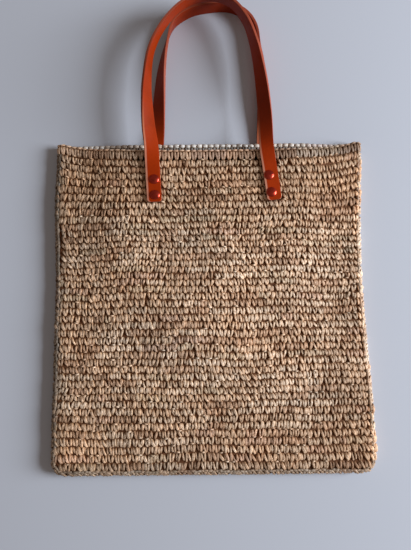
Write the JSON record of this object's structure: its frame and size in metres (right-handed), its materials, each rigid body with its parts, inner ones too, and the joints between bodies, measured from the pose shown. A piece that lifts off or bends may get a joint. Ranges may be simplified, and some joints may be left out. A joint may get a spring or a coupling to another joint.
{
  "type": "tote bag",
  "caption": "Flat crocheted raffia tote bag lying on its back, with riveted leather strap handles that swing at the mouth.",
  "frame": {"origin": "middle of the back panel's outer face, the face that the bag lies on", "axes": "+X to the bag's right seen from the front, +Y from the bottom seam to the mouth and handles, +Z out of the front panel"},
  "size_m": [0.3754, 0.5703, 0.0378],
  "materials": {
    "raffia": "crocheted natural raffia",
    "raffia_edge": "crocheted natural raffia, thicker edge stitches",
    "leather": "smooth orange-brown strap leather, semi-gloss",
    "leather_patch": "rough split leather",
    "copper": "antique copper rivets"
  },
  "bodies": {
    "bag": {"front_panel": "raffia", "back_panel": "raffia", "joining_seam": "raffia_edge", "mouth_rim": "raffia_edge", "front_tab_left": "leather", "front_tab_right": "leather", "back_tab_left": "leather", "back_tab_right": "leather", "front_patch_left": "leather_patch", "front_patch_right": "leather_patch", "back_patch_left": "leather_patch", "back_patch_right": "leather_patch", "front_left_lower_cap": "copper", "front_left_lower_stud": "copper", "front_left_upper_cap": "copper", "front_left_upper_stud": "copper", "front_right_lower_cap": "copper", "front_right_lower_stud": "copper", "front_right_upper_cap": "copper", "front_right_upper_stud": "copper", "back_left_lower_cap": "copper", "back_left_lower_stud": "copper", "back_left_upper_cap": "copper", "back_left_upper_stud": "copper", "back_right_lower_cap": "copper", "back_right_lower_stud": "copper", "back_right_upper_cap": "copper", "back_right_upper_stud": "copper"},
    "front_handle": {"front_handle_loop": "leather"},
    "back_handle": {"back_handle_loop": "leather"}
  },
  "joints": [
    {"name": "front_handle_swing", "type": "hinge", "parent": "bag", "child": "front_handle", "pos_m": [0.002, 0.16515, 0.0271], "axis": [1, 0, 0], "range_deg": [0, 150]},
    {"name": "back_handle_swing", "type": "hinge", "parent": "bag", "child": "back_handle", "pos_m": [0.002, 0.16515, 0.0025], "axis": [-1, 0, 0], "range_deg": [0, 150]}
  ]
}
